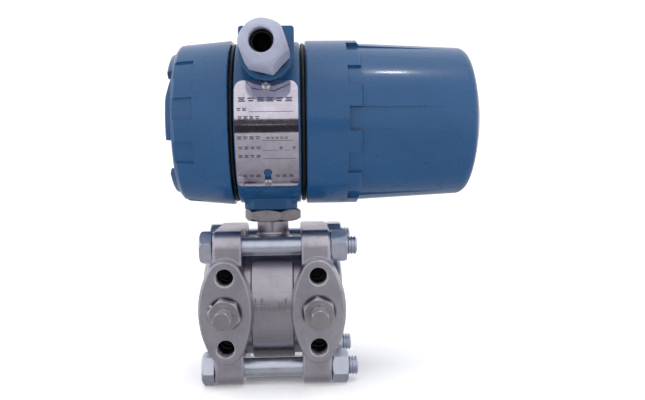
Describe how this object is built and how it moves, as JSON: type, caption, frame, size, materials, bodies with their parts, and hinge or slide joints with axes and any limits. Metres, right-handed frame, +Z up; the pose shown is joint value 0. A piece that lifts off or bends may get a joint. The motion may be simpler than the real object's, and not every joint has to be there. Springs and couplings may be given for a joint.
{
  "type": "differential pressure transmitter",
  "caption": "Two-flange differential pressure transmitter with a round two-cover electronics housing, cable gland, swivel neck and vent valves.",
  "frame": {"origin": "centre of the bounding box's base, level with the underside of the process flanges", "axes": "+X from the short cover to the long cover, -Y towards the vent valves and the cable gland, +Z up along the neck"},
  "size_m": [0.1864, 0.1448, 0.208],
  "materials": {
    "blue_enamel": "gloss",
    "cast_steel": "satin",
    "turned_steel": "satin",
    "zinc_plate": "satin",
    "vent_steel": "satin",
    "neck_nut_steel": "rough",
    "plate_metal": "satin",
    "screw_steel": "polished",
    "pale_nylon": "satin",
    "black_rubber": "matte",
    "board_green": "satin",
    "dark_plastic": "matte",
    "trimmer_blue": "gloss",
    "plated_brass": "satin",
    "thin_foil": "satin",
    "seal_fluoro": "satin",
    "glass_seal": "gloss"
  },
  "bodies": {
    "sensor": {"sensor_module": "turned_steel", "sensing_cell_high": "turned_steel", "sensing_cell_low": "turned_steel", "sensing_diaphragm": "thin_foil", "isolating_diaphragm_high": "thin_foil", "isolating_diaphragm_low": "thin_foil", "process_gasket_high": "seal_fluoro", "process_gasket_low": "seal_fluoro", "lead_header": "glass_seal", "lead_connector": "dark_plastic", "flange_high": "cast_steel", "flange_low": "cast_steel", "flange_bolts": "zinc_plate", "flange_nuts": "zinc_plate", "vent_seat_high": "vent_steel", "vent_seat_low": "vent_steel"},
    "neck_nut": {"lock_nut": "neck_nut_steel"},
    "vent_stem_h": {"vent_stem_high": "vent_steel"},
    "vent_stem_l": {"vent_stem_low": "vent_steel"},
    "electronics": {"housing": "blue_enamel", "housing_partition": "blue_enamel", "nameplate_screws": "screw_steel", "gland_gasket": "black_rubber", "gland_body": "pale_nylon", "gland_seal": "black_rubber", "rear_conduit_plug": "zinc_plate", "amplifier_board": "board_green", "calibration_board": "board_green", "board_spacers": "plated_brass", "board_screws": "screw_steel", "trimmers": "trimmer_blue", "partition_bushing": "seal_fluoro", "terminal_block": "dark_plastic", "terminal_block_screws": "screw_steel", "terminal_screws": "plated_brass", "terminal_clamps": "plated_brass", "ground_screw": "plated_brass"},
    "plate": {"nameplate": "plate_metal"},
    "zero": {"zero_adjuster": "plated_brass"},
    "span": {"span_adjuster": "plated_brass"},
    "cable_nut": {"gland_nut": "pale_nylon"},
    "short_ring": {"short_cover_o_ring": "black_rubber"},
    "short_end": {"short_cover": "blue_enamel"},
    "long_ring": {"long_cover_o_ring": "black_rubber"},
    "long_end": {"long_cover": "blue_enamel"}
  },
  "joints": [
    {"name": "housing_swivel", "type": "hinge", "parent": "sensor", "child": "electronics", "pos_m": [-0.0348, 0.01339, 0.10614], "axis": [0, 0, 1], "range_deg": [-90, 90]},
    {"name": "neck_nut_turn", "type": "hinge", "parent": "sensor", "child": "neck_nut", "pos_m": [-0.0348, 0.01339, 0.09979], "axis": [0, 0, 1], "continuous": true},
    {"name": "vent_high_turn", "type": "hinge", "parent": "sensor", "child": "vent_stem_h", "pos_m": [-0.0618, -0.03961, 0.04614], "axis": [0, -1, 0], "range_deg": [0, 540]},
    {"name": "vent_low_turn", "type": "hinge", "parent": "sensor", "child": "vent_stem_l", "pos_m": [-0.0078, -0.03961, 0.04614], "axis": [0, -1, 0], "range_deg": [0, 540]},
    {"name": "plate_slide_round", "type": "hinge", "parent": "electronics", "child": "plate", "pos_m": [-0.0348, 0.01339, 0.15694], "axis": [1, 0, 0], "range_deg": [0, 7.6]},
    {"name": "zero_turn", "type": "hinge", "parent": "electronics", "child": "zero", "pos_m": [-0.0512, -0.02908, 0.16367], "axis": [0, -0.9877, 0.1564], "continuous": true},
    {"name": "span_turn", "type": "hinge", "parent": "electronics", "child": "span", "pos_m": [-0.0512, -0.02814, 0.14581], "axis": [0, -0.9659, -0.2588], "continuous": true},
    {"name": "cable_nut_turn", "type": "hinge", "parent": "electronics", "child": "cable_nut", "pos_m": [-0.03588, -0.05659, 0.19395], "axis": [-0.0339, -0.9991, 0.0253], "continuous": true},
    {"name": "short_cover_travel", "type": "slide", "parent": "electronics", "child": "short_ring", "axis": [-1, 0, 0], "range_m": [0, 0.0121]},
    {"name": "short_cover_turn", "type": "hinge", "parent": "short_ring", "child": "short_end", "pos_m": [-0.0748, 0.01339, 0.15694], "axis": [-1, 0, 0], "range_deg": [0, 2160]},
    {"name": "long_cover_travel", "type": "slide", "parent": "electronics", "child": "long_ring", "axis": [1, 0, 0], "range_m": [0, 0.0121]},
    {"name": "long_cover_turn", "type": "hinge", "parent": "long_ring", "child": "long_end", "pos_m": [0.0252, 0.01339, 0.15694], "axis": [1, 0, 0], "range_deg": [0, 2160]}
  ],
  "couplings": [
    {"joint": "short_cover_travel", "follows": "short_cover_turn", "m_per_rad": 0.00031831},
    {"joint": "long_cover_travel", "follows": "long_cover_turn", "m_per_rad": 0.00031831}
  ]
}
